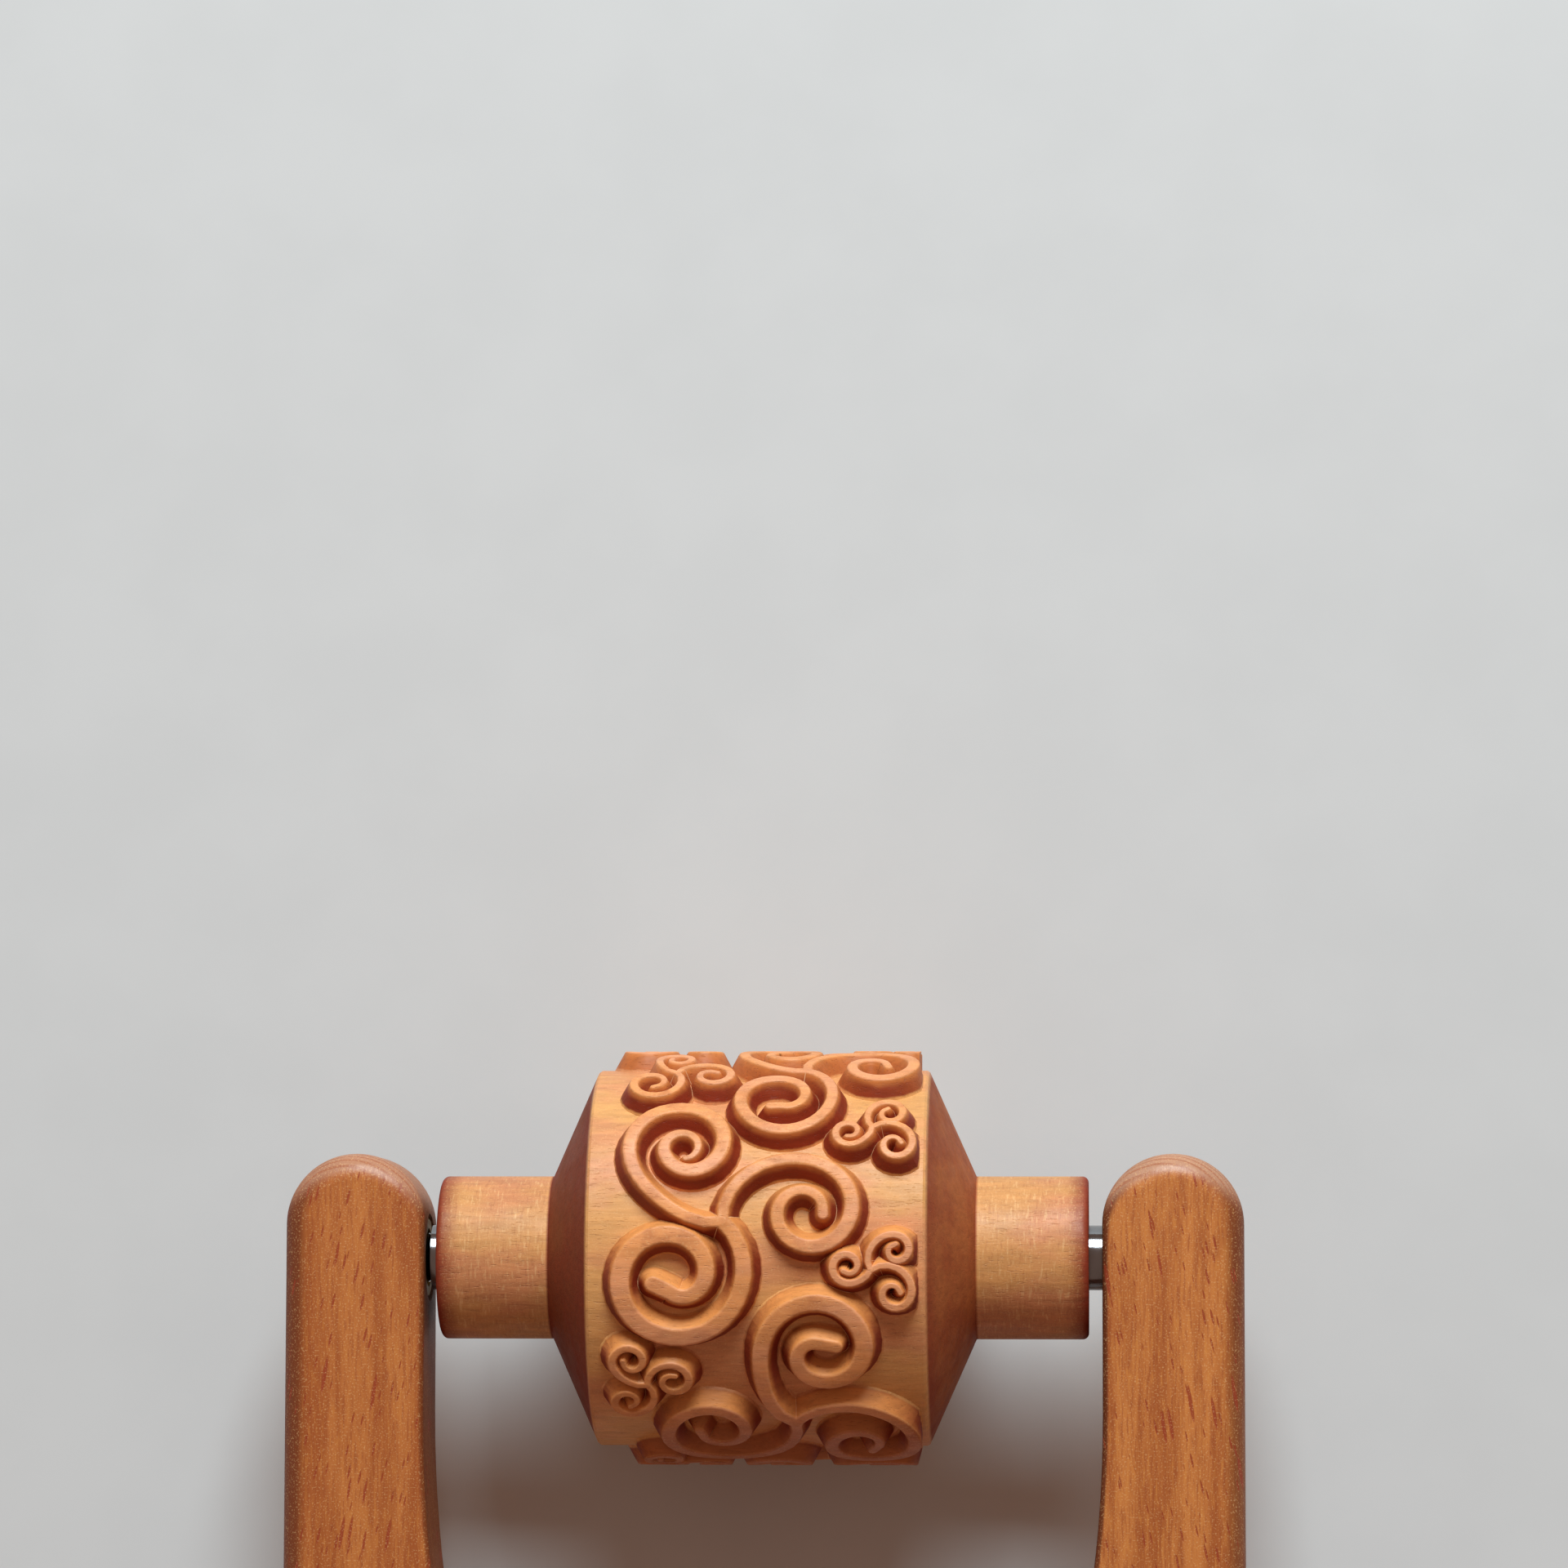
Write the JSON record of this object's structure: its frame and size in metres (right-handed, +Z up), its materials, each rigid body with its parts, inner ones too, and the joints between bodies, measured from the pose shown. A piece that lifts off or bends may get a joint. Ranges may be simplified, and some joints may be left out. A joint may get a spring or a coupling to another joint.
{
  "type": "clay texture roller",
  "caption": "Hand roller that prints raised spirals into clay: a carved wooden drum spins on a steel axle between the arms of a wooden yoke with a turned grip.",
  "frame": {"origin": "on the table, under the middle of the tool's bounding box", "axes": "+X along the axle towards its slotted end, +Y from the grip towards the drum, +Z up; the tool lies on its drum and its grip"},
  "size_m": [0.093, 0.1922, 0.0402],
  "materials": {
    "oiled_beech": "oiled, smooth",
    "carved_wood": "oiled, burnt brown on the carved walls",
    "dowel_wood": "bare",
    "bush_bronze": "plain bearing bronze",
    "axle_steel": "polished",
    "insert_brass": "machined"
  },
  "bodies": {
    "handle": {"yoke": "oiled_beech", "grip": "oiled_beech", "handle_dowel": "dowel_wood", "axle": "axle_steel", "axle_insert": "insert_brass"},
    "roller": {"texture_roller": "carved_wood", "roller_bush_left": "bush_bronze", "roller_bush_right": "bush_bronze"}
  },
  "joints": [
    {"name": "roller_spin", "type": "hinge", "parent": "handle", "child": "roller", "pos_m": [0, 0.07602, 0.0201], "axis": [1, 0, 0], "continuous": true}
  ]
}
